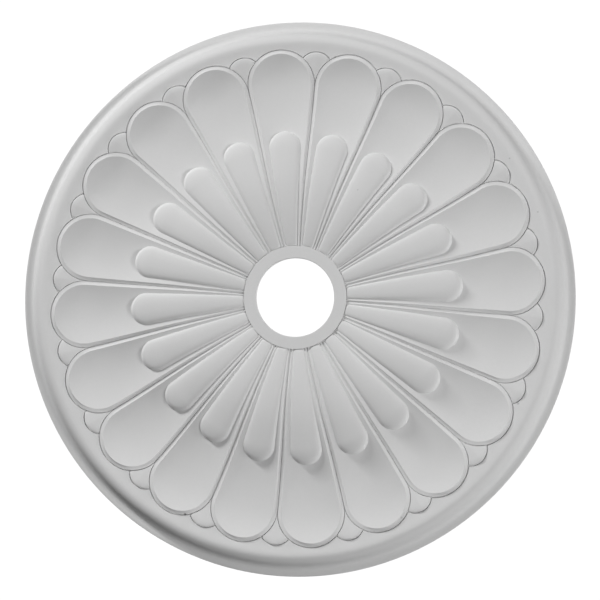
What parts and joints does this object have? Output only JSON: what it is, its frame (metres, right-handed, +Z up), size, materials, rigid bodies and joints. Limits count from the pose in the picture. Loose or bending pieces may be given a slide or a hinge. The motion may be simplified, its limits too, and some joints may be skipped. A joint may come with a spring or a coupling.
{
  "type": "ceiling rose",
  "caption": "Round moulded ceiling rose: flat ring round a central cable hole, hollowed petals each holding a raised dart, small tongues between the tips, and an ogee rim.",
  "frame": {"origin": "centre of the flat back, on the axis of the central hole, in the plane that lies against the ceiling", "axes": "+Z up into the ceiling, so the ornament faces down along -Z; +X and +Y both lie along the centreline of a petal"},
  "size_m": [0.6799, 0.68, 0.035],
  "materials": {
    "primed_polyurethane": "matt white factory primer over rigid polyurethane foam"
  },
  "bodies": {
    "root": {"ceiling_rose": "primed_polyurethane"}
  },
  "joints": []
}
